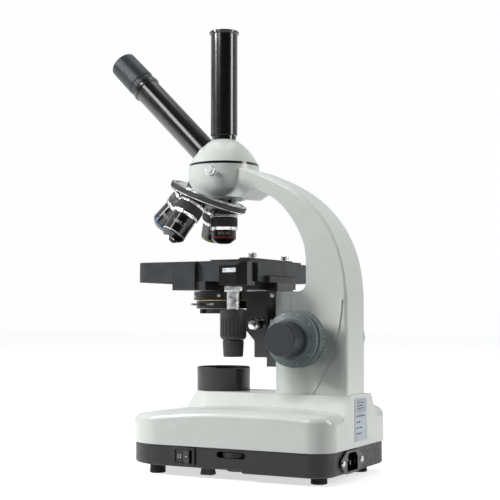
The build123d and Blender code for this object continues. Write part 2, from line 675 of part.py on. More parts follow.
with BuildPart() as grip_ring:
    add(turned(nosepiece_plane, [
        (grip_inner_r, grip_under), (grip_r - 0.4, grip_under), (grip_r, grip_under + 0.4),
        (grip_r, grip_top - 0.4), (grip_r - 0.4, grip_top), (grip_inner_r + 0.4, grip_top),
        (grip_inner_r + 0.4, rotor_top + 0.2), (grip_inner_r, rotor_top + 0.2),
    ]).part)
grip_ring.part.label = "grip_ring"
export_step(grip_ring.part, "parts/grip_ring.step")

# objectives: a black body with a thread, a neck, a wide band and a long sleeve
neck_end, collar_end, band_end, ring_end = 2.6, 6.0, 14.6, 18.0
collar_r, band_r, sleeve_r, core_r = 12.8, 12.6, 11.4, 9.8
nose_bore_r, nose_travel = 6.6, 2.0
sleeve_ends = {"4x": 30.2, "10x": 39.0, "40x": 42.6, "100x": 42.0}


def objective_body(name):
    """The black body of an objective, with a hollow for its lenses or its sprung nose."""
    end = sleeve_ends[name]
    hollow_r = nose_bore_r if name in ("40x", "100x") else 5.0
    tip_r = hollow_r + 1.0
    return turned(objective_plane(objective_turns[name]), [
        (hollow_r, -4), (thread_r, -4), (thread_r, 0), (10.6, 0), (10.6, neck_end), (core_r, neck_end),
        (core_r, collar_end), (band_r, collar_end), (band_r, band_end), (core_r, band_end),
        (core_r, ring_end), (sleeve_r, ring_end), (sleeve_r, end - 4), (tip_r, end), (hollow_r, end),
    ])


objective_bodies = {name: objective_body(name) for name in objective_turns}
for name, body in objective_bodies.items():
    body.part.label = f"objective_{name}"
    export_step(body.part, f"parts/objective_{name}.step")

with BuildPart() as objective_rings:
    for turn in objective_turns.values():
        ring_plane = objective_plane(turn)
        add(turned(ring_plane, [
            (core_r, neck_end), (collar_r, neck_end + 0.4), (collar_r, collar_end - 0.3),
            (core_r, collar_end),
        ]).part)
        add(turned(ring_plane, [
            (core_r, band_end), (band_r + 0.1, band_end + 0.2), (sleeve_r + 0.9, ring_end - 0.1),
            (core_r, ring_end),
        ]).part)
objective_rings.part.label = "objective_rings"
export_step(objective_rings.part, "parts/objective_rings.step")

nose_ends = {"40x": 44.6, "100x": 45.0}
for name, nose_end in nose_ends.items():
    nose = turned(objective_plane(objective_turns[name]), [
        (0, 27), (nose_bore_r - shaft_gap, 27), (nose_bore_r - shaft_gap, nose_end - 2.2),
        (3.2, nose_end), (0, nose_end),
    ])
    nose.part.label = f"nose_{name}"
    export_step(nose.part, f"parts/nose_{name}.step")

# ================================================================ focus drive
tooth_pitch = pi * pinion_module
tooth_half = 0.22 * tooth_pitch
rack_line = focus_back - pinion_r - 0.1  # the rack's pitch line, behind the optical axis
rack_half, shaft_r, shaft_bore_r = 5.0, 4.0, 2.55

with BuildPart() as focus_block:
    add(block((-block_half, block_half), (behind(column_front + 0.3), behind(lip_back)), (96, 150)))
    add(block((-groove_half, groove_half), (behind(lip_back), behind(80)), (96, 150)))
    add(block((-rack_half, rack_half), (behind(80), behind(rack_line) - 0.85), (106, 150)))
    with BuildSketch(Plane.YZ.offset(-rack_half)):
        for tooth in range(-5, 12):
            with Locations((behind(rack_line), focus_z + tooth * tooth_pitch)):
                Polygon((-0.95, -tooth_half - 0.32), (0.6, -tooth_half + 0.22),
                        (0.6, tooth_half - 0.22), (-0.95, tooth_half + 0.32), align=None)
    extrude(amount=2 * rack_half)
    add(block((-6.1, 6.1), (behind(column_front), behind(68.3)), (90, 155)), mode=Mode.SUBTRACT)
focus_block.part.label = "focus_block"
export_step(focus_block.part, "parts/focus_block.step")

with BuildPart() as coarse_shaft:
    add(rod(shaft_plane, shaft_r, -coarse_outer_x + 0.5, coarse_outer_x - 0.5))
    with BuildSketch(shaft_plane.offset(-rack_half)):
        Circle(pinion_r - 0.85)
        with PolarLocations(pinion_r, pinion_teeth, start_angle=180 / pinion_teeth):
            Polygon((-1.2, -tooth_half - 0.28), (0.6, -tooth_half + 0.26),
                    (0.6, tooth_half - 0.26), (-1.2, tooth_half + 0.28), align=None)
    extrude(amount=2 * rack_half)
    add(rod(shaft_plane, shaft_bore_r, -coarse_outer_x, coarse_outer_x), mode=Mode.SUBTRACT)
coarse_shaft.part.label = "coarse_shaft"
export_step(coarse_shaft.part, "parts/coarse_shaft.step")

with BuildPart() as focus_bushes:
    for side in (-1, 1):
        side_plane = Plane(shaft_plane.origin, x_dir=(0, 1, 0), z_dir=(side, 0, 0))
        add(turned(side_plane, [
            (shaft_r + shaft_gap, groove_half + 1.2), (bush_r, groove_half + 1.2), (bush_r, boss_end_x),
            (bush_r + 2, boss_end_x), (bush_r + 2, boss_end_x + 1), (shaft_r + shaft_gap, boss_end_x + 1),
        ]).part)
focus_bushes.part.label = "focus_bushes"
export_step(focus_bushes.part, "parts/focus_bushes.step")

coarse_r, dial_r, ribs = 24.7, 23.8, 40
with BuildPart() as coarse_knobs:
    for side in (-1, 1):
        side_plane = Plane(shaft_plane.origin, x_dir=(0, 1, 0), z_dir=(side, 0, 0))
        add(turned(side_plane, [
            (shaft_r, coarse_inner_x), (coarse_r - 0.8, coarse_inner_x), (coarse_r, coarse_inner_x + 0.8),
            (coarse_r, 47), (coarse_r - 0.5, 47.5), (dial_r - 1, 47.9), (dial_r - 1, 48.7),
            (dial_r, 49.1), (dial_r, 53.4), (dial_r - 0.8, 54.2), (17.5, coarse_outer_x),
            (shaft_r, coarse_outer_x),
        ]).part)
        with Locations(side_plane.offset((coarse_inner_x + 47) / 2)):
            with PolarLocations(coarse_r + 0.5, ribs):
                Cylinder(1.0, 9, mode=Mode.SUBTRACT)
coarse_knobs.part.label = "coarse_knobs"
export_step(coarse_knobs.part, "parts/coarse_knobs.step")

fine_r, fine_tip_r = 15.2, 14.2
fine_inner_x = coarse_outer_x + slide_gap
fine_half = [
    (shaft_bore_r - shaft_gap, fine_inner_x), (fine_r, fine_inner_x), (fine_tip_r, fine_outer_x - 0.8),
    (fine_tip_r - 0.8, fine_outer_x),
]
fine_knobs = turned(
    shaft_plane,
    [(0, -fine_outer_x)] + [(r, -x) for r, x in reversed(fine_half)] + fine_half + [(0, fine_outer_x)],
)
fine_knobs.part.label = "fine_knobs"
export_step(fine_knobs.part, "parts/fine_knobs.step")

# ================================================================ stage
carrier_half, carrier_low_z = 17.0, 96.0
with BuildPart() as stage_carrier:
    add(block((-carrier_half, carrier_half), (behind(carrier_front), behind(carrier_back)),
              (carrier_low_z, saddle_bottom_z)))
    chamfer(stage_carrier.edges().filter_by(Axis.Z), 1)
    add(block((-6, 6), (behind(carrier_back) - 1, behind(68)), (98, 148)))
stage_carrier.part.label = "stage_carrier"
export_step(stage_carrier.part, "parts/stage_carrier.step")

saddle_half, saddle_front = 31.0, -30.0
with BuildPart() as saddle:
    add(block((-saddle_half, saddle_half), (behind(saddle_front), behind(carrier_back)),
              (saddle_bottom_z, saddle_top_z)))
    fillet(saddle.edges().filter_by(Axis.Z).group_by(Axis.Y)[0], 8)
    for side in (-1, 1):  # the rails that the stage plate runs on
        add(block((side * 27 - 2, side * 27 + 2), (behind(-22), behind(26)), (saddle_top_z - 1, 183.6)))
    add(block((-34, -20), (behind(42), behind(58)), (165.5, saddle_bottom_z)))  # travel stop
    add(block((-saddle_half, saddle_half), (behind(24), behind(carrier_front)),
              (ring_top_z + 0.8, saddle_bottom_z)))  # thicker where it meets the carrier
    add(rod(level(0), 24, ring_top_z, saddle_top_z + 1), mode=Mode.SUBTRACT)
saddle.part.label = "saddle"
export_step(saddle.part, "parts/saddle.step")

skirt, deck_z = 3.2, 184.0
notch_x, notch_front = 46.0, 33.0
with BuildPart() as stage_plate:
    with BuildSketch(Plane.XY.offset(stage_bottom_z)) as stage_plan:
        with BuildLine():
            Polyline(
                (stage_left, behind(stage_front)), (stage_right, behind(stage_front)),
                (stage_right, behind(notch_front)), (notch_x, behind(notch_front)),
                (notch_x, behind(stage_back)), (stage_left, behind(stage_back)), close=True,
            )
        make_face()
        fillet(stage_plan.vertices().group_by(Axis.Y)[0], 12)
        fillet(stage_plan.vertices().group_by(Axis.X)[0].sort_by(Axis.Y)[-1], 6)
    extrude(amount=stage_top_z - stage_bottom_z)
    chamfer(stage_plate.faces().sort_by(Axis.Z)[-1].edges(), 0.5)
    # hollow under the deck, in two bays beside the notch for the drive
    add(block((stage_left + skirt, notch_x - skirt), (behind(stage_front) + skirt,
              behind(stage_back) - skirt), (stage_bottom_z - 1, deck_z)), mode=Mode.SUBTRACT)
    add(block((notch_x - 10, stage_right - skirt), (behind(stage_front) + skirt,
              behind(notch_front) - skirt), (stage_bottom_z - 1, deck_z)), mode=Mode.SUBTRACT)
    # the saddle passes under the back edge
    add(block((-saddle_half - 1, saddle_half + 1), (behind(stage_back) - 8, behind(stage_back) + 1),
              (stage_bottom_z - 1, saddle_top_z + 0.6)), mode=Mode.SUBTRACT)
    # long light opening, so that the light reaches the slide at both ends of the travel
    with BuildSketch(Plane.XY.offset(deck_z - 1)):
        with Locations(Location((0, behind(12), 0), (0, 0, 90))):
            SlotOverall(56, 31)
    extrude(amount=10, mode=Mode.SUBTRACT)
    # cover of the drive on the right side, and the guide bar of the slide holder
    add(block((60.9, 68.5), (behind(-14), behind(9)), (164, stage_top_z - 0.5)))
    add(block((40, 66), (behind(-14), behind(18.5)), (164, stage_bottom_z)))
    add(block((-50, 44), (behind(50.3), behind(56)), (stage_top_z - 1, stage_top_z + 2)))
stage_plate.part.label = "stage_plate"
export_step(stage_plate.part, "parts/stage_plate.step")

knob_plane = standing(knob_x, behind(knob_back))
outer_shaft_r, inner_shaft_r, drum_r = 5.65, 3.0, 7.0
with BuildPart() as drive_housing:
    add(block((notch_x, 67.5), (behind(notch_front), behind(57)), (168, 188.3)))
    chamfer(drive_housing.edges().filter_by(Axis.Z).group_by(Axis.X)[-1].sort_by(Axis.Y)[-1:], 7)
    chamfer(drive_housing.faces().sort_by(Axis.Z)[-1].edges().group_by(Axis.X)[-1], 3)
    add(rod(knob_plane, 7.2, 163, 169))
    add(rod(knob_plane, drum_r + 0.6, 174, 185.5), mode=Mode.SUBTRACT)
    add(rod(knob_plane, outer_shaft_r + shaft_gap, 160, 175), mode=Mode.SUBTRACT)
drive_housing.part.label = "drive_housing"
export_step(drive_housing.part, "parts/drive_housing.step")

y_knob_low_z, y_knob_top_z, x_knob_low_z = 121.0, 147.0, 106.0
y_shaft = turned(knob_plane, [
    (inner_shaft_r + shaft_gap, y_knob_top_z), (outer_shaft_r, y_knob_top_z), (outer_shaft_r, 174.3),
    (drum_r, 174.3), (drum_r, 178.8), (inner_shaft_r + shaft_gap, 178.8),
])
y_shaft.part.label = "y_shaft"
export_step(y_shaft.part, "parts/y_shaft.step")

y_knob_r, y_ribs = 11.5, 20
with BuildPart() as y_knob:
    add(turned(knob_plane, [
        (inner_shaft_r + shaft_gap, y_knob_low_z), (y_knob_r - 1.6, y_knob_low_z),
        (y_knob_r, y_knob_low_z + 2.5), (y_knob_r, y_knob_top_z - 0.8), (y_knob_r - 0.8, y_knob_top_z),
        (inner_shaft_r + shaft_gap, y_knob_top_z),
    ]).part)
    with Locations(knob_plane.offset(y_knob_low_z + 9)):
        with PolarLocations(y_knob_r + 0.5, y_ribs):
            Cylinder(1.1, 18, mode=Mode.SUBTRACT)
y_knob.part.label = "y_knob"
export_step(y_knob.part, "parts/y_knob.step")

x_knob_r = 9.2
with BuildPart() as x_knob:
    add(turned(knob_plane, [
        (0, x_knob_low_z), (x_knob_r - 1, x_knob_low_z), (x_knob_r - 0.6, x_knob_low_z + 0.6),
        (x_knob_r, y_knob_low_z - slide_gap - 2), (x_knob_r - 0.3, y_knob_low_z - slide_gap),
        (inner_shaft_r, y_knob_low_z - slide_gap), (inner_shaft_r, 180), (drum_r, 180), (drum_r, 184.4),
        (0, 184.4),
    ]).part)
    with Locations(knob_plane.offset(x_knob_low_z + 6)):
        with PolarLocations(x_knob_r + 0.4, 18):
            Cylinder(0.8, 12.5, mode=Mode.SUBTRACT)
x_knob.part.label = "x_knob"
export_step(x_knob.part, "parts/x_knob.step")

# slide holder: a bar across the stage with a fixed finger, and a sprung finger on a pivot
holder_z, bar_top_z, finger_thick = stage_top_z + slide_gap, 193.0, 1.5
pivot_x, pivot_back = -38.0, 44.8
tongue_z = holder_z + finger_thick + slide_gap
with BuildPart() as holder_bar:
    add(block((-31, 44), (behind(40), behind(49.7)), (holder_z, bar_top_z)))
    chamfer(holder_bar.faces().sort_by(Axis.Z)[-1].edges(), 0.6)
    add(block((-44, -30), (behind(40), behind(49.7)), (tongue_z, bar_top_z)))
    with BuildSketch(Plane.XY.offset(holder_z)):
        with BuildLine():
            Polyline(
                (38, behind(42)), (38.5, behind(14)), (41, behind(9)), (44, behind(11)),
                (44, behind(42)), close=True,
            )
        make_face()
    extrude(amount=1.8)
holder_bar.part.label = "holder_bar"
export_step(holder_bar.part, "parts/holder_bar.step")

pivot_plane = standing(pivot_x, behind(pivot_back))
pivot_pin_r = 1.8
with BuildPart() as holder_screws:
    add(rod(pivot_plane, pivot_pin_r, holder_z, tongue_z))
    for screw_x, screw_back in ((pivot_x, pivot_back), (28, 45)):
        add(turned(standing(screw_x, behind(screw_back)), [
            (0, bar_top_z), (2.2, bar_top_z), (2.2, bar_top_z + 1), (3.7, bar_top_z + 1),
            (3.7, bar_top_z + 4.4), (3.3, bar_top_z + 4.8), (0, bar_top_z + 4.8),
        ]).part)
holder_screws.part.label = "holder_screws"
export_step(holder_screws.part, "parts/holder_screws.step")

with BuildPart() as holder_finger:
    with BuildSketch(Plane.XY.offset(holder_z)):
        with Locations((pivot_x, behind(pivot_back))):
            Circle(5)
        with BuildLine():
            Polyline(
                (-43, behind(44)), (-43.8, behind(12)), (-41, behind(8)), (-38.6, behind(13)),
                (-36.5, behind(40)), close=True,
            )
        make_face()
        with Locations((pivot_x, behind(pivot_back))):
            Circle(pivot_pin_r + shaft_gap, mode=Mode.SUBTRACT)
    extrude(amount=finger_thick)
holder_finger.part.label = "holder_finger"
export_step(holder_finger.part, "parts/holder_finger.step")

# ================================================================ condenser
ring_low_z, iris_low_z = 156.0, 148.2
mount_r = 21.9
iris_slot_low, iris_slot_top = 150.6, 153.2
condenser_knob_back, condenser_knob_z = 41.2, 133.5
knob_axis = Plane((0, behind(condenser_knob_back), condenser_knob_z), x_dir=(0, 1, 0), z_dir=(1, 0, 0))
with BuildPart() as condenser_bracket:
    with BuildSketch(Plane.YZ.offset(-12)):
        with BuildLine():
            Polyline(
                (behind(30), ring_low_z), (behind(30), 128), (behind(38.5), 119), (behind(38.5), 104),
                (behind(carrier_front) - 0.3, 104), (behind(carrier_front) - 0.3, ring_top_z),
                (behind(24), ring_top_z), (behind(24), ring_low_z), close=True,
            )
        make_face()
    extrude(amount=24)
    add(rod(level(0), 28, ring_low_z, ring_top_z))
    add(rod(level(0), mount_r, ring_low_z - 1, ring_top_z + 1), mode=Mode.SUBTRACT)
    add(rod(knob_axis, 2 + shaft_gap, -13, 13), mode=Mode.SUBTRACT)
condenser_bracket.part.label = "condenser_bracket"
export_step(condenser_bracket.part, "parts/condenser_bracket.step")

filter_pivot_x, filter_pivot_back, filter_pin_r = -22.2, -3.9, 1.5
filter_low_z, filter_top_z = 143.6, iris_low_z - slide_gap
with BuildPart() as condenser_body:
    add(turned(level(0), [
        (10, iris_low_z), (25.5, iris_low_z), (25.5, ring_low_z - 1.2), (24.9, ring_low_z - 1.2),
        (24.9, ring_low_z), (mount_r, ring_low_z), (mount_r, 168), (17, 170), (16, 176), (13, 184),
        (11, 187.4), (10, 187.4),
    ]).part)
    add(rod(level(0), 19.5, iris_slot_low, iris_slot_top), mode=Mode.SUBTRACT)
    with BuildSketch(level(iris_slot_low)):
        with BuildLine():
            Polyline((0, 0), (40 * cos(radians(8)), 40 * sin(radians(8))), (44, -20), (25, -40),
                     (40 * cos(radians(-75)), 40 * sin(radians(-75))), close=True)
        make_face()
    extrude(amount=iris_slot_top - iris_slot_low, mode=Mode.SUBTRACT)
    add(rod(standing(filter_pivot_x, behind(filter_pivot_back)), filter_pin_r, filter_low_z - 1, iris_low_z + 1))
condenser_body.part.label = "condenser_body"
export_step(condenser_body.part, "parts/condenser_body.step")

with BuildPart() as condenser_lenses:
    add(turned(level(0), [(0, 181), (10, 181), (10, 186.4), (6, 187.6), (0, 188)]).part)
    add(turned(level(0), [(0, 154), (10, 154.6), (10, 157), (6, 160.2), (0, 161.2)]).part)
condenser_lenses.part.label = "condenser_lenses"
export_step(condenser_lenses.part, "parts/condenser_lenses.step")

lever_turn, lever_reach = -35.0, 33.5
with BuildPart() as iris_lever:
    with BuildSketch(level(iris_slot_low + 0.3)):
        Circle(19.2)
        Circle(10.4, mode=Mode.SUBTRACT)
        with Locations(Location((0, 0, 0), (0, 0, lever_turn))):
            with Locations((25.5, 0)):
                SlotOverall(2 * (lever_reach - 25.5), 3)
    extrude(amount=iris_slot_top - iris_slot_low - 0.6)
iris_lever.part.label = "iris_lever"
export_step(iris_lever.part, "parts/iris_lever.step")

filter_ring_r, filter_r = 19.0, 16.0
with BuildPart() as filter_holder:
    with BuildSketch(Plane.XY.offset(filter_low_z)):
        with Locations((0, optical_y)):
            Circle(filter_ring_r)
        with Locations((filter_pivot_x, behind(filter_pivot_back))):
            Circle(4.5)
        with Locations((14.4, behind(-14.4))):
            Circle(2.6)  # thumb tab
    extrude(amount=filter_top_z - filter_low_z)
    add(rod(level(0), filter_r - 1.5, filter_low_z - 1, filter_top_z + 1), mode=Mode.SUBTRACT)
    add(rod(level(0), filter_r, filter_low_z + 1.5, filter_top_z + 1), mode=Mode.SUBTRACT)
    add(rod(standing(filter_pivot_x, behind(filter_pivot_back)), filter_pin_r + shaft_gap,
            filter_low_z - 1, filter_top_z + 1), mode=Mode.SUBTRACT)
filter_holder.part.label = "filter_holder"
export_step(filter_holder.part, "parts/filter_holder.step")

with BuildPart() as filter_glass:
    add(rod(level(0), filter_r, filter_low_z + 1.5, filter_low_z + 4))
filter_glass.part.label = "filter_glass"
export_step(filter_glass.part, "parts/filter_glass.step")

with BuildPart() as condenser_knob:
    add(turned(knob_axis, [
        (0, -12), (2, -12), (2, 12.4), (3.4, 12.4), (3.4, 14), (4.6, 14), (5, 14.6), (5, 19.4),
        (3.8, 21), (0, 21.6),
    ]).part)
condenser_knob.part.label = "condenser_knob"
export_step(condenser_knob.part, "parts/condenser_knob.step")
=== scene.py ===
"""Looks of the dual-view student microscope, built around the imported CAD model. Lengths are in metres."""

import json
from math import cos, pi, radians, sin, tan

import bmesh
import bpy
from mathutils import Matrix, Vector


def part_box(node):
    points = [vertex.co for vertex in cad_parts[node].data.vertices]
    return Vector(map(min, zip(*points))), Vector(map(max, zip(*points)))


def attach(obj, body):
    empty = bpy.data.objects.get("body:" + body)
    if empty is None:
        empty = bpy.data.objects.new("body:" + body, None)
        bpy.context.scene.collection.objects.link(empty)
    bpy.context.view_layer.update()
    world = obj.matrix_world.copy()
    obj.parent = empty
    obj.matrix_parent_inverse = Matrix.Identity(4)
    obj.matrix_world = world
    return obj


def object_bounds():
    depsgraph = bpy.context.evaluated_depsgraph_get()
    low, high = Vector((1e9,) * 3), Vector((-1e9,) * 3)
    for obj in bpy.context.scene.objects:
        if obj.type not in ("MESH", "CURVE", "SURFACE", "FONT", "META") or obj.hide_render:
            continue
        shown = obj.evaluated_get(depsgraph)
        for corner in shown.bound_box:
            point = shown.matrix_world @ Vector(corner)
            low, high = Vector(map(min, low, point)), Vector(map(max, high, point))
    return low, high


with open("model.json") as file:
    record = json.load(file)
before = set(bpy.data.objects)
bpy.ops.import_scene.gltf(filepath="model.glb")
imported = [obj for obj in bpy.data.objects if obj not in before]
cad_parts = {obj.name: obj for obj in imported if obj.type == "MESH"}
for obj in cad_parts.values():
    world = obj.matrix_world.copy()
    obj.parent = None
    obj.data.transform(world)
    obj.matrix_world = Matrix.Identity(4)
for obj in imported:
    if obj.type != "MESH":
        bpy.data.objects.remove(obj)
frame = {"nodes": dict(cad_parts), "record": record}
cad_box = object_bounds()
mm = 0.001
cup_low, cup_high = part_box("collector_cup")
optical_y = (cup_low[1] + cup_high[1]) / 2  # the light path runs through the middle of the cup
edge_radius = 0.4 * mm  # of the softly broken edges of every finish
noise_low, noise_high = 0.3, 0.7  # nearly all of a noise texture lies between these
side_names = {-1: "left", 1: "right"}

# ---------------------------------------------------------------- material building blocks


class Finish:
    """A node material that varies over the surface, with object coordinates in metres."""

    def __init__(self, name, **values):
        self.material = bpy.data.materials.new(name)
        self.material.use_nodes = True
        self.tree = self.material.node_tree
        self.shader = self.tree.nodes["Principled BSDF"]
        for socket, value in values.items():
            self.shader.inputs[socket.replace("_", " ")].default_value = value
        self.coordinates = self.tree.nodes.new("ShaderNodeTexCoord").outputs["Object"]
        worn_edge = self.tree.nodes.new("ShaderNodeBevel")
        worn_edge.samples = 6
        worn_edge.inputs["Radius"].default_value = edge_radius
        self.normal = worn_edge.outputs["Normal"]
        self.link(self.normal, self.shader.inputs["Normal"])

    def link(self, source, target):
        self.tree.links.new(source, target)

    def noise(self, scale, detail=4.0):
        texture = self.tree.nodes.new("ShaderNodeTexNoise")
        texture.inputs["Scale"].default_value = scale
        texture.inputs["Detail"].default_value = detail
        self.link(self.coordinates, texture.inputs["Vector"])
        return texture.outputs["Fac"]

    def ramp(self, source, low, high):
        """Two colours blended by a value."""
        ramp = self.tree.nodes.new("ShaderNodeValToRGB")
        ramp.color_ramp.elements[0].position = noise_low
        ramp.color_ramp.elements[0].color = (*low, 1)
        ramp.color_ramp.elements[1].position = noise_high
        ramp.color_ramp.elements[1].color = (*high, 1)
        self.link(source, ramp.inputs["Fac"])
        return ramp.outputs["Color"]

    def spread(self, source, low, high):
        """A value spread between two limits."""
        spread = self.tree.nodes.new("ShaderNodeMapRange")
        spread.inputs["From Min"].default_value = noise_low
        spread.inputs["From Max"].default_value = noise_high
        spread.inputs["To Min"].default_value = low
        spread.inputs["To Max"].default_value = high
        self.link(source, spread.inputs["Value"])
        return spread.outputs["Result"]

    def colour(self, low, high, scale):
        """Clouds the colour between two tints."""
        tint = self.ramp(self.noise(scale), low, high)
        self.link(tint, self.shader.inputs["Base Color"])

    def gloss(self, low, high, scale):
        """Lets the roughness wander between two limits."""
        value = self.spread(self.noise(scale), low, high)
        self.link(value, self.shader.inputs["Roughness"])

    def bump(self, height, distance, strength):
        """Adds relief from a height value; distance is in metres."""
        relief = self.tree.nodes.new("ShaderNodeBump")
        relief.inputs["Strength"].default_value = strength
        relief.inputs["Distance"].default_value = distance
        self.link(height, relief.inputs["Height"])
        self.link(self.normal, relief.inputs["Normal"])
        self.normal = relief.outputs["Normal"]
        self.link(self.normal, self.shader.inputs["Normal"])


def shade(colour, factor):
    return tuple(min(1.0, c * factor) for c in colour)


def enamel(name, colour, roughness, peel=0.00002, coat=0.5):
    """Sprayed paint: slight orange peel under a clear coat."""
    finish = Finish(name, Coat_Weight=coat, Coat_Roughness=0.08, Specular_IOR_Level=0.5)
    finish.colour(shade(colour, 0.96), shade(colour, 1.03), 35)
    finish.gloss(roughness * 0.85, roughness * 1.2, 90)
    finish.bump(finish.noise(160, 1.0), peel, 0.3)
    return finish.material


def moulded(name, colour, roughness, grain=0.00004, grain_scale=2600):
    """Injection-moulded plastic with a fine spark-eroded grain."""
    finish = Finish(name, Specular_IOR_Level=0.45)
    finish.colour(shade(colour, 0.85), shade(colour, 1.15), 60)
    finish.gloss(roughness * 0.85, roughness * 1.2, 200)
    finish.bump(finish.noise(grain_scale, 2.0), grain, 0.6)
    return finish.material


def turned_metal(name, colour, roughness):
    """Machined or plated metal with fine tool marks."""
    finish = Finish(name, Metallic=1.0)
    finish.colour(shade(colour, 0.9), shade(colour, 1.05), 120)
    finish.gloss(roughness * 0.7, roughness * 1.5, 240)
    finish.bump(finish.noise(1500, 2.0), 0.00001, 0.4)
    return finish.material


def clear_glass(name, colour, roughness=0.02):
    """Polished glass, with a faint film of dust."""
    finish = Finish(name, Transmission_Weight=1.0, IOR=1.5, Base_Color=(*colour, 1), Coat_Weight=0.4)
    finish.gloss(roughness * 0.5, roughness * 3, 300)
    return finish.material


white_paint = enamel("white_enamel", (0.74, 0.78, 0.74), 0.34)
charcoal = moulded("charcoal_moulding", (0.012, 0.0125, 0.013), 0.45, 0.00002)
black_enamel = enamel("black_enamel", (0.006, 0.0065, 0.008), 0.2, peel=0.000004, coat=0.6)
satin_black = enamel("satin_black", (0.012, 0.012, 0.014), 0.36, peel=0.000008, coat=0.15)
slate = enamel("slate_enamel", (0.015, 0.018, 0.021), 0.4, peel=0.00002, coat=0.1)
switch_black = moulded("switch_black", (0.008, 0.008, 0.009), 0.28)
rubber = moulded("foot_rubber", (0.012, 0.012, 0.012), 0.75, 0.00008, 1800)
grey_teal = moulded("grey_teal_plastic", (0.115, 0.15, 0.155), 0.42)
eyepiece_grey = moulded("eyepiece_grey", (0.03, 0.037, 0.041), 0.34, 0.0000002)
blue_black = moulded("blue_black_plastic", (0.016, 0.02, 0.027), 0.4)
chrome = turned_metal("chrome_plate", (0.86, 0.87, 0.88), 0.16)
steel = turned_metal("turned_steel", (0.55, 0.55, 0.54), 0.28)
aluminium = turned_metal("machined_aluminium", (0.72, 0.73, 0.74), 0.35)
brass = turned_metal("turned_brass", (0.72, 0.52, 0.24), 0.3)
glass = clear_glass("optical_glass", (0.93, 0.97, 0.98))
blue_glass = clear_glass("daylight_filter_glass", (0.45, 0.62, 0.95))
label_film = moulded("label_film", (0.55, 0.62, 0.7), 0.35, 0.000005)
printed_ink = moulded("printed_ink", (0.07, 0.09, 0.13), 0.4, 0.000002)
white_ink = moulded("white_ink", (0.8, 0.82, 0.82), 0.4, 0.000002)
dial_ink = moulded("dial_ink", (0.5, 0.55, 0.56), 0.4, 0.000002)
ring_paints = {
    "4x": moulded("red_ring", (0.5, 0.02, 0.02), 0.3, 0.000002),
    "10x": moulded("yellow_ring", (0.75, 0.55, 0.03), 0.3, 0.000002),
    "40x": moulded("blue_ring", (0.02, 0.16, 0.5), 0.3, 0.000002),
    "100x": white_ink,
}
lamp_resin = moulded("lamp_resin", (0.8, 0.74, 0.4), 0.2, 0.00001)
iron = moulded("varnished_iron", (0.09, 0.075, 0.06), 0.5)

finishes = {
    "white_paint": white_paint, "charcoal_plastic": charcoal, "black_rubber": rubber,
    "switch_plastic": switch_black, "label_film": label_film, "black_enamel": black_enamel,
    "satin_black": satin_black, "grey_teal_plastic": grey_teal, "blue_black_plastic": blue_black,
    "slate_enamel": slate, "chrome": chrome, "brushed_steel": steel, "aluminium": aluminium,
    "brass": brass, "optical_glass": glass, "filter_glass": blue_glass, "lamp_resin": lamp_resin,
    "transformer_iron": iron,
}
node_slots = {entry["node"]: entry["material_slot"] for entry in frame["record"]["subparts"]}
for node_name, node in frame["nodes"].items():
    finish = finishes[node_slots[node_name]]
    for slot in node.material_slots:
        slot.material = finish
frame["nodes"]["eyepiece_body"].material_slots[0].material = eyepiece_grey
frame["nodes"]["lock_screw"].material_slots[0].material = aluminium

# ---------------------------------------------------------------- detail pieces


def riding_piece(name, mesh, finish, body):
    """Gives a mesh its finish and makes it a piece that rides on a body."""
    mesh.materials.append(finish)
    piece = bpy.data.objects.new(name, mesh)
    bpy.context.scene.collection.objects.link(piece)
    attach(piece, body)


def finished_mesh(name, shape, finish, body):
    """Turns a bmesh into a piece that rides on a body."""
    mesh = bpy.data.meshes.new(name)
    bmesh.ops.recalc_face_normals(shape, faces=shape.faces)
    shape.to_mesh(mesh)
    shape.free()
    riding_piece(name, mesh, finish, body)


def add_turned(shape, place, outline, steps=96, flutes=0, depth=0.0):
    """Adds a ring turned about the local Z of place from points (radius, height), in millimetres.

    Flutes are grooves of the given depth, spaced evenly round the ring.
    """
    rings = []
    for radius, height in outline:
        ring = []
        for step in range(steps):
            angle = 2 * pi * step / steps
            cut = depth * (0.5 - 0.5 * cos(flutes * angle))
            point = Vector(((radius - cut) * cos(angle), (radius - cut) * sin(angle), height)) * mm
            ring.append(shape.verts.new(place @ point))
        rings.append(ring)
    for this, following in zip(rings, rings[1:] + rings[:1]):
        for step in range(steps):
            after = (step + 1) % steps
            shape.faces.new((this[step], this[after], following[after], following[step]))


def add_slab(shape, place, centre, size):
    """Adds a thin block with chamfered upper edges.

    Centre and size are in millimetres, and Z points away from the surface it stands on.
    """
    middle_x, middle_y, low_z = centre
    half_x, half_y, thickness = size[0] / 2, size[1] / 2, size[2]
    chamfer = min(thickness, half_x, half_y) * 0.5
    corners = ((-1, -1), (1, -1), (1, 1), (-1, 1))
    layers = []
    for inset, height in ((0, 0), (0, thickness - chamfer), (chamfer, thickness)):
        layer = []
        for side_x, side_y in corners:
            x = middle_x + side_x * (half_x - inset)
            y = middle_y + side_y * (half_y - inset)
            layer.append(shape.verts.new(place @ (Vector((x, y, low_z + height)) * mm)))
        layers.append(layer)
    for lower, upper in zip(layers, layers[1:]):
        for corner in range(4):
            after = (corner + 1) % 4
            shape.faces.new((lower[corner], lower[after], upper[after], upper[corner]))
    shape.faces.new(layers[-1])
    shape.faces.new(layers[0][::-1])


def axes(origin, across, outward):
    """A placing matrix with its X along across and its Z along outward; origin in millimetres."""
    z_axis = Vector(outward).normalized()
    x_axis = Vector(across).normalized()
    y_axis = z_axis.cross(x_axis)
    turn = Matrix((x_axis, y_axis, z_axis)).transposed().to_4x4()
    return Matrix.Translation(Vector(origin) * mm) @ turn


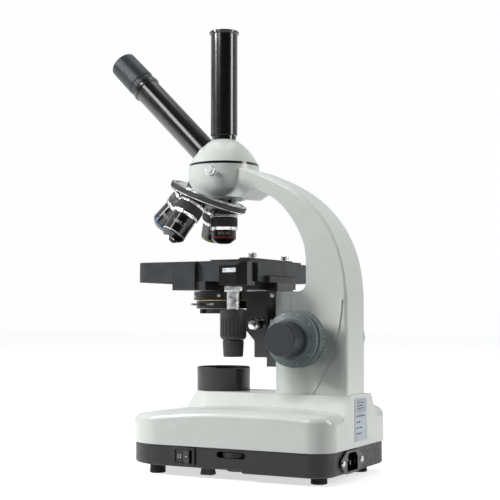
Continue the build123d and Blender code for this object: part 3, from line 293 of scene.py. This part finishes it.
def lettering(name, text, size, place, finish, body, wrap_radius=None):
    """Printed figures in the XY plane of place, wrapped round its Y axis if a radius is given."""
    curve = bpy.data.curves.new(name, "FONT")
    curve.body = text
    curve.size = size * mm
    curve.align_x = "CENTER"
    curve.align_y = "CENTER"
    curve.extrude = 0.03 * mm
    curve.resolution_u = 3
    drawn = bpy.data.objects.new(name, curve)
    bpy.context.scene.collection.objects.link(drawn)
    evaluated = drawn.evaluated_get(bpy.context.evaluated_depsgraph_get())
    mesh = bpy.data.meshes.new_from_object(evaluated)
    bpy.data.objects.remove(drawn)
    for vertex in mesh.vertices:
        point = vertex.co.copy()
        if wrap_radius is not None:
            reach = wrap_radius * mm + point.z
            angle = point.x / (wrap_radius * mm)
            point = Vector((reach * sin(angle), point.y, reach * cos(angle)))
        vertex.co = place @ point
    mesh.name = name
    mesh.materials.clear()
    riding_piece(name, mesh, finish, body)


behind_origin = optical_y / mm  # the optical axis in millimetres
apex_z = 291.0  # where the axes of the objectives meet
nosepiece_tilt = radians(24)
seat_distance = 52.0  # from there to the seat of an objective
nosepiece_axis = Vector((0, sin(nosepiece_tilt), cos(nosepiece_tilt)))
nosepiece_place = axes((0, behind_origin, apex_z), (1, 0, 0), nosepiece_axis)


def objective_place(turn):
    """The seat of an objective, with Z down its axis and X pointing out from the nosepiece."""
    over = Vector((1, 0, 0)) * cos(turn) + nosepiece_axis.cross(Vector((1, 0, 0))) * sin(turn)
    down = over * sin(nosepiece_tilt) - nosepiece_axis * cos(nosepiece_tilt)
    outward = over * cos(nosepiece_tilt) + nosepiece_axis * sin(nosepiece_tilt)
    return axes(Vector((0, behind_origin, apex_z)) + down * seat_distance, outward, down)


def nosepiece_grip():
    """The black knurled band between the chrome edges of the turning ring."""
    inner_r, shoulder_r, outer_r = 36.6, 37.4, 37.6
    shape = bmesh.new()
    outline = [(inner_r, -43.0), (shoulder_r, -42.9), (outer_r, -42.4),
               (outer_r, -38.9), (shoulder_r, -38.4), (inner_r, -38.1)]
    add_turned(shape, nosepiece_place, outline, steps=720, flutes=120, depth=0.3)
    finished_mesh("grip_band", shape, satin_black, "nosepiece")


def objective_details():
    """Fluted chrome rings, a knurled band, a colour ring and the magnification on each objective."""
    band_r, sleeve_r, sleeve_from = 12.6, 11.4, 18.4
    sleeve_ends = {"4x": 30.2, "10x": 39.0, "40x": 42.6, "100x": 42.0}
    turns = {"4x": 90, "10x": 180, "40x": 270, "100x": 0}
    figures = {"4x": "4/0.10", "10x": "10/0.25", "40x": "40/0.65", "100x": "100/1.25"}
    figure_size = 4.4
    seat_ring = [(12.2, 3.0), (13.0, 3.2), (13.0, 5.4), (12.2, 5.6)]
    lower_ring = [(12.0, 14.9), (12.95, 15.1), (12.75, 17.0), (11.8, 17.2)]
    knurled_band = [(band_r - 0.3, 6.3), (band_r + 0.2, 6.6), (band_r + 0.2, 14.0), (band_r - 0.3, 14.3)]
    for name, turn in turns.items():
        place = objective_place(radians(turn))
        flutes = bmesh.new()
        for outline in (seat_ring, lower_ring):
            add_turned(flutes, place, outline, steps=288, flutes=48, depth=0.45)
        finished_mesh(f"flutes_{name}", flutes, chrome, "nosepiece")
        band = bmesh.new()
        add_turned(band, place, knurled_band, steps=432, flutes=72, depth=0.2)
        finished_mesh(f"band_{name}", band, satin_black, "nosepiece")
        ring = bmesh.new()
        ring_from = sleeve_ends[name] - 6.2
        add_turned(ring, place, [(sleeve_r - 0.2, ring_from), (sleeve_r + 0.1, ring_from + 0.1),
                                 (sleeve_r + 0.1, ring_from + 1.2), (sleeve_r - 0.2, ring_from + 1.3)])
        finished_mesh(f"ring_{name}", ring, ring_paints[name], "nosepiece")
        # the figures stand upright on the side that faces the way the camera heading points
        down = place.to_3x3() @ Vector((0, 0, 1))
        facing = (toward_camera - down * toward_camera.dot(down)).normalized()
        seat = place.translation / mm
        middle = seat + down * (sleeve_from + (ring_from - sleeve_from) / 2)
        face = axes(middle, (-down).cross(facing), facing)
        lettering(f"figures_{name}", figures[name], figure_size, face, white_ink, "nosepiece",
                  sleeve_r + 0.02)


def dial_details():
    """Graduations and figures on the cone between the coarse and the fine knob, on both sides."""
    focus_y, focus_z = behind_origin + 95.5, 121.7
    cone_inner_r, cone_outer_r, cone_x, cone_drop = 17.5, 23.0, 57.0, 2.8
    tick_count, tick_r, figure_r, figure_size = 100, 18.0, 21.5, 2.7
    long_tick, short_tick, tick_width, print_height = 2.0, 1.2, 0.16, 0.05
    slope = cone_drop / (cone_outer_r - cone_inner_r)
    for side in (-1, 1):
        ticks = bmesh.new()
        for tick in range(tick_count):
            angle = 2 * pi * tick / tick_count
            radial = Vector((0, cos(angle) * side, sin(angle)))
            outward = (Vector((side, 0, 0)) + radial * slope).normalized()
            length = long_tick if tick % 10 == 0 else short_tick
            radius = tick_r + length / 2
            at = Vector((side * (cone_x - (radius - cone_inner_r) * slope), focus_y, focus_z))
            place = axes(at + radial * radius, outward.cross(radial), outward)
            add_slab(ticks, place, (0, 0, 0), (tick_width, length, print_height))
            if tick % 10 == 0:
                figure_x = cone_x - (figure_r - cone_inner_r) * slope + 0.03  # just above the cone
                at = Vector((side * figure_x, focus_y, focus_z))
                place = axes(at + radial * figure_r, radial.cross(outward), outward)
                lettering(f"dial_{side_names[side]}_{tick}", str(tick), figure_size, place,
                          dial_ink, "coarse_drive")
        finished_mesh(f"ticks_{side_names[side]}", ticks, dial_ink, "coarse_drive")


def switch_marks():
    """An O and a bar on the two halves of the rocker."""
    box_low, box_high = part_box("switch_bezel")
    centre_y = (box_low[1] + box_high[1]) / 2 / mm
    centre_z = (box_low[2] + box_high[2]) / 2 / mm
    base_side_x, tray_inset, pivot_depth = 71.0, 1.8, 3.0
    pivot_x = base_side_x - tray_inset - pivot_depth
    face_reach, face_middle = 4.45, 3.8  # of a half's sloping face, from the pivot
    face_length, face_fall = 7.6, 1.6  # its length, and how far it falls to the middle
    spin = Matrix.Rotation(radians(-10), 3, "Z")  # how far the rocker is tipped at rest
    for half in (-1, 1):
        local = Vector((face_reach, half * face_middle, 0))
        outward = Vector((face_length, half * -face_fall, 0))
        at = Vector((pivot_x, centre_y, centre_z)) + spin @ local
        place = axes(at, spin @ Vector((half * face_fall, face_length, 0)), spin @ outward)
        mark = bmesh.new()
        if half < 0:
            add_turned(mark, place, [(1.2, -0.05), (1.75, -0.05), (1.75, 0.06), (1.2, 0.06)], 32)
        else:
            add_slab(mark, place, (0, 0, -0.02), (2.8, 0.6, 0.08))
        finished_mesh("mark_off" if half < 0 else "mark_on", mark, white_ink, "rocker")


def label_print():
    """Rows of plain bars where the rating label has its print."""
    low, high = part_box("rating_label")
    place = axes((0, high[1] / mm, low[2] / mm), (-1, 0, 0), (0, 1, 0))
    bars = bmesh.new()
    ink_height, bar_gap = 0.03, 1
    frame_z, frame_half_height, frame_half_width, rule_width = 30.5, 4.6, 8.3, 0.4
    for edge in (-1, 1):
        add_slab(bars, place, (0, frame_z + edge * frame_half_height, 0), (17, rule_width, ink_height))
        add_slab(bars, place, (edge * frame_half_width, frame_z, 0), (rule_width, 9, ink_height))
    framed_rows = [(5, 3, 4), (4, 6), (6, 2, 4)]
    lower_rows = [(4, 7, 6), (3, 5), (4, 2, 5), (3, 4, 3)]
    # each block: bar widths by row, where a row starts, first row's height, row pitch, bar height
    blocks = [(framed_rows, -7.0, 33, 2.5, 1.1), (lower_rows, -10.5, 21.5, 5, 1.3)]
    for rows, start, first_row, pitch, bar_height in blocks:
        for row, widths in enumerate(rows):
            left = start
            for width in widths:
                middle = (left + width / 2, first_row - row * pitch, 0)
                add_slab(bars, place, middle, (width, bar_height, ink_height))
                left += width + bar_gap
    finished_mesh("label_print", bars, printed_ink, "stand")


def stage_rebate():
    """A fine line round the cover plate let into the stage's right-hand side."""
    line = bmesh.new()
    line_width, line_height = 0.35, 0.12
    long_side, short_side = 22, 7.2
    place = axes((46.0, behind_origin + 46.5, 180), (0, 1, 0), (1, 0, 0))
    for edge in (-1, 1):
        add_slab(line, place, (0, edge * short_side / 2, 0), (long_side, line_width, line_height))
        add_slab(line, place, (edge * 10.8, 0, 0), (line_width, short_side, line_height))
    finished_mesh("stage_rebate", line, satin_black, "stage")


def column_cover():
    """The small raised plate over the tension screw, on both sides of the column."""
    for side in (-1, 1):
        place = axes((side * 20.4, behind_origin + 73.5, 154), (0, side, 0), (side, 0, 0))
        plate = bmesh.new()
        add_slab(plate, place, (0, 0, 0), (13, 11, 0.5))
        finished_mesh(f"cover_{side_names[side]}", plate, white_paint, "stand")


def condenser_details():
    """A turned brass line under the condenser's mount, and bright screws above it."""
    shape = bmesh.new()
    place = axes((0, behind_origin, 0), (1, 0, 0), (0, 0, 1))
    add_turned(shape, place, [(24.5, 155.2), (25.9, 155.3), (26.1, 155.6), (25.9, 155.9), (24.5, 155.95)])
    screw_circle_r, screw_z = 27.9, 160
    screw_outline = [(0.01, 0), (1.6, 0), (1.6, 0.7), (1.2, 1.1), (0.5, 1.1), (0.4, 0.6), (0.01, 0.6)]
    finished_mesh("condenser_line", shape, brass, "condenser")
    screws = bmesh.new()
    for turn in (20, 75, 140, 260, 320):
        over = Vector((cos(radians(turn)), sin(radians(turn)), 0))
        seat = Vector((0, behind_origin, screw_z)) + over * screw_circle_r
        add_turned(screws, axes(seat, over.cross(Vector((0, 0, 1))), over), screw_outline, steps=24)
    finished_mesh("condenser_screws", screws, steel, "condenser")


def stage_details():
    """A scale on the stage drive, a fluted collar over its knobs, and screws on the carrier."""
    low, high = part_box("drive_housing")
    right_x = high[0] / mm
    middle_y = (low[1] + high[1]) / 2 / mm
    place = axes((right_x, middle_y, 181), (0, 1, 0), (1, 0, 0))
    scale = bmesh.new()
    add_slab(scale, place, (-2, 0, 0), (13, 3.6, 0.3))
    finished_mesh("stage_scale", scale, aluminium, "stage")
    marks = bmesh.new()
    for mark in range(13):
        length = 2.4 if mark % 5 == 0 else 1.5
        add_slab(marks, place, (-8 + mark, 1.5 - length / 2, 0.3), (0.2, length, 0.03))
    finished_mesh("stage_scale_marks", marks, printed_ink, "stage")
    collar = bmesh.new()
    upright = axes((58, behind_origin + 42, 0), (1, 0, 0), (0, 0, 1))
    collar_outline = [(5.9, 162.6), (7.3, 162.6), (7.9, 163.2), (7.9, 166.8), (7.3, 167.4), (5.9, 167.4)]
    add_turned(collar, upright, collar_outline, steps=144, flutes=36, depth=0.3)
    finished_mesh("drive_collar", collar, chrome, "stage")
    screws = bmesh.new()
    screw_outline = [(0.01, 0), (2.3, 0), (2.3, 0.5), (1.7, 1.1), (0.8, 1.2), (0.7, 0.5), (0.01, 0.45)]
    for height in (108, 136, 160):
        spot = axes((17.0, behind_origin + 59.5, height), (0, 1, 0), (1, 0, 0))
        add_turned(screws, spot, screw_outline, steps=32)
    finished_mesh("carrier_screws", screws, steel, "carrier")


camera_heading = radians(28)  # the camera stands this far from +X towards +Y
toward_camera = Vector((cos(camera_heading), sin(camera_heading), 0))
camera_right = Vector((-sin(camera_heading), cos(camera_heading), 0))

nosepiece_grip()
objective_details()
dial_details()
switch_marks()
label_print()
stage_rebate()
column_cover()
condenser_details()
stage_details()

# ---------------------------------------------------------------- camera, floor and light


def look_at(thing, target):
    direction = Vector(target) - thing.location
    thing.rotation_euler = direction.to_track_quat("-Z", "Y").to_euler()


def studio_camera():
    """A camera at the right and behind the microscope, a little below its middle, looking slightly up."""
    distance, sideways, height, upward = 1.057, 0.0244, 0.142, 3.3
    camera = bpy.data.objects.new("camera", bpy.data.cameras.new("camera"))
    camera.location = toward_camera * distance + camera_right * sideways
    camera.location += Vector((0, optical_y, height))
    camera.data.lens = 81.4
    camera.data.sensor_width = 36
    look_at(camera, camera.location - toward_camera + Vector((0, 0, tan(radians(upward)))))
    bpy.context.scene.collection.objects.link(camera)
    bpy.context.scene.camera = camera


lamp_distance = 2.0


def softbox(name, turn, elevation, width, height, power, colour=(1, 1, 1)):
    """A light that stands turned from the camera's direction (to the right if positive)."""
    lamp = bpy.data.lights.new(name, "AREA")
    lamp.shape = "RECTANGLE"
    lamp.size, lamp.size_y = width, height
    lamp.energy = power
    lamp.color = colour
    holder = bpy.data.objects.new(name, lamp)
    level_part = toward_camera * cos(radians(turn)) + camera_right * sin(radians(turn))
    rise = radians(elevation)
    middle = Vector((0, 0, 0.2))
    holder.location = middle + (level_part * cos(rise) + Vector((0, 0, sin(rise)))) * lamp_distance
    look_at(holder, middle)
    bpy.context.scene.collection.objects.link(holder)


def pale_floor():
    bpy.ops.mesh.primitive_plane_add(size=14, location=(0, 0, cad_box[0][2]))
    floor = bpy.context.object
    floor.name = "floor"
    floor.visible_diffuse = False  # it stays white without lighting the object from below
    paper = Finish("studio_paper", Roughness=0.6, Specular_IOR_Level=0.1, Emission_Color=(1, 1, 1, 1),
                   Emission_Strength=0.62)
    paper.colour((0.86, 0.865, 0.87), (0.89, 0.89, 0.89), 3)
    floor.data.materials.append(paper.material)


def studio_world():
    """White where the camera sees it. For the object it is pale behind and dark on the camera's side.

    The dark side gives the gloss something to show.
    """
    world = bpy.data.worlds.new("studio")
    world.use_nodes = True
    tree = world.node_tree
    back = tree.nodes["Background"]
    direction = tree.nodes.new("ShaderNodeTexCoord").outputs["Generated"]
    facing = tree.nodes.new("ShaderNodeVectorMath")
    facing.operation = "DOT_PRODUCT"
    facing.inputs[1].default_value = toward_camera
    tree.links.new(direction, facing.inputs[0])
    ramp = tree.nodes.new("ShaderNodeValToRGB")
    ramp.color_ramp.elements[0].position = 0.0
    ramp.color_ramp.elements[0].color = (0.6, 0.61, 0.62, 1)
    ramp.color_ramp.elements[1].position = 0.75
    ramp.color_ramp.elements[1].color = (0.025, 0.026, 0.028, 1)
    spread = tree.nodes.new("ShaderNodeMapRange")
    spread.inputs["From Min"].default_value = -0.4
    spread.inputs["From Max"].default_value = 1.0
    tree.links.new(facing.outputs["Value"], spread.inputs["Value"])
    tree.links.new(spread.outputs["Result"], ramp.inputs["Fac"])
    seen = tree.nodes.new("ShaderNodeBackground")
    seen.inputs["Color"].default_value = (0.985, 0.99, 1, 1)
    tree.links.new(ramp.outputs["Color"], back.inputs["Color"])
    mix = tree.nodes.new("ShaderNodeMixShader")
    rays = tree.nodes.new("ShaderNodeLightPath")
    tree.links.new(rays.outputs["Is Camera Ray"], mix.inputs["Fac"])
    tree.links.new(back.outputs["Background"], mix.inputs[1])
    tree.links.new(seen.outputs["Background"], mix.inputs[2])
    tree.links.new(mix.outputs["Shader"], tree.nodes["World Output"].inputs["Surface"])
    return world


def studio():
    scene = bpy.context.scene
    scene.world = studio_world()
    scene.view_settings.view_transform = "Standard"
    softbox("key_left", -77, 28, 0.3, 0.6, 30)
    softbox("strip_left", -43, 32, 0.45, 0.9, 10)
    softbox("fill_right", 72, 20, 0.5, 1.2, 17, (1, 0.98, 0.95))
    softbox("overhead", 180, 75, 1.2, 1.2, 6)
    pale_floor()


studio_camera()
studio()
